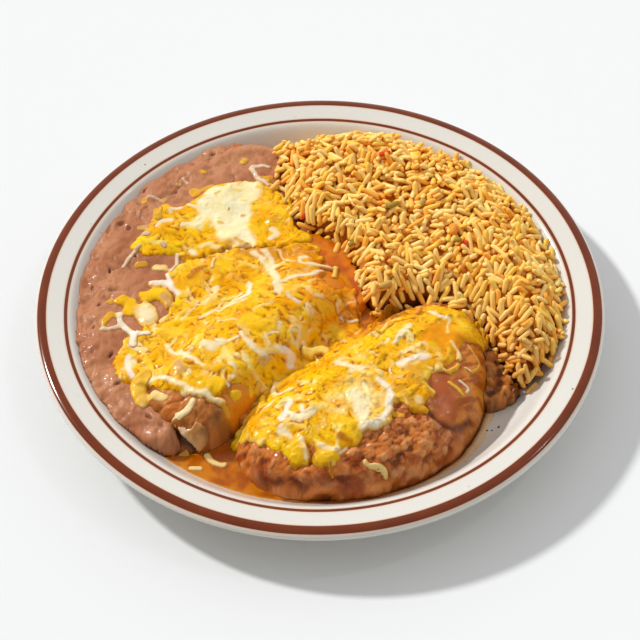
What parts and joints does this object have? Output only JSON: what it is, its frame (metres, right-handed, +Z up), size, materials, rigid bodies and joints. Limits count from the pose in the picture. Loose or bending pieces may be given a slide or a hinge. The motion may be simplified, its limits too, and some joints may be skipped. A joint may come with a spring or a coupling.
{
  "type": "plate of enchiladas",
  "caption": "Plated meal of cheese-covered enchiladas with refried beans and orange rice, on its round banded dinner plate.",
  "frame": {"origin": "on the table under the middle of the plate's foot ring", "axes": "+Z up out of the plate; +Y away from the diner, with the rice at +X and the beans at -X"},
  "size_m": [0.2682, 0.2682, 0.0418],
  "materials": {
    "plate": "glossy off-white glaze with brown bands and fine specks",
    "enchilada_left": "moist sauced tortilla",
    "enchilada_right": "lumpy glossy red-brown gravy",
    "refried_beans": "soft satin bean paste",
    "rice": "lightly oiled grains",
    "cheese_left": "glossy melted yellow cheese",
    "cheese_pool": "glossy melted white cheese",
    "cheese_right": "glossy melted yellow and white cheese",
    "sauce_front": "wet oily sauce",
    "sauce_middle": "wet oily sauce",
    "sauce_side": "wet oily sauce with soft onion"
  },
  "bodies": {
    "root": {"plate": "plate", "enchilada_left": "enchilada_left", "enchilada_right": "enchilada_right", "refried_beans": "refried_beans", "rice": "rice", "cheese_left": "cheese_left", "cheese_pool": "cheese_pool", "cheese_right": "cheese_right", "sauce_front": "sauce_front", "sauce_middle": "sauce_middle", "sauce_side": "sauce_side"}
  },
  "joints": []
}
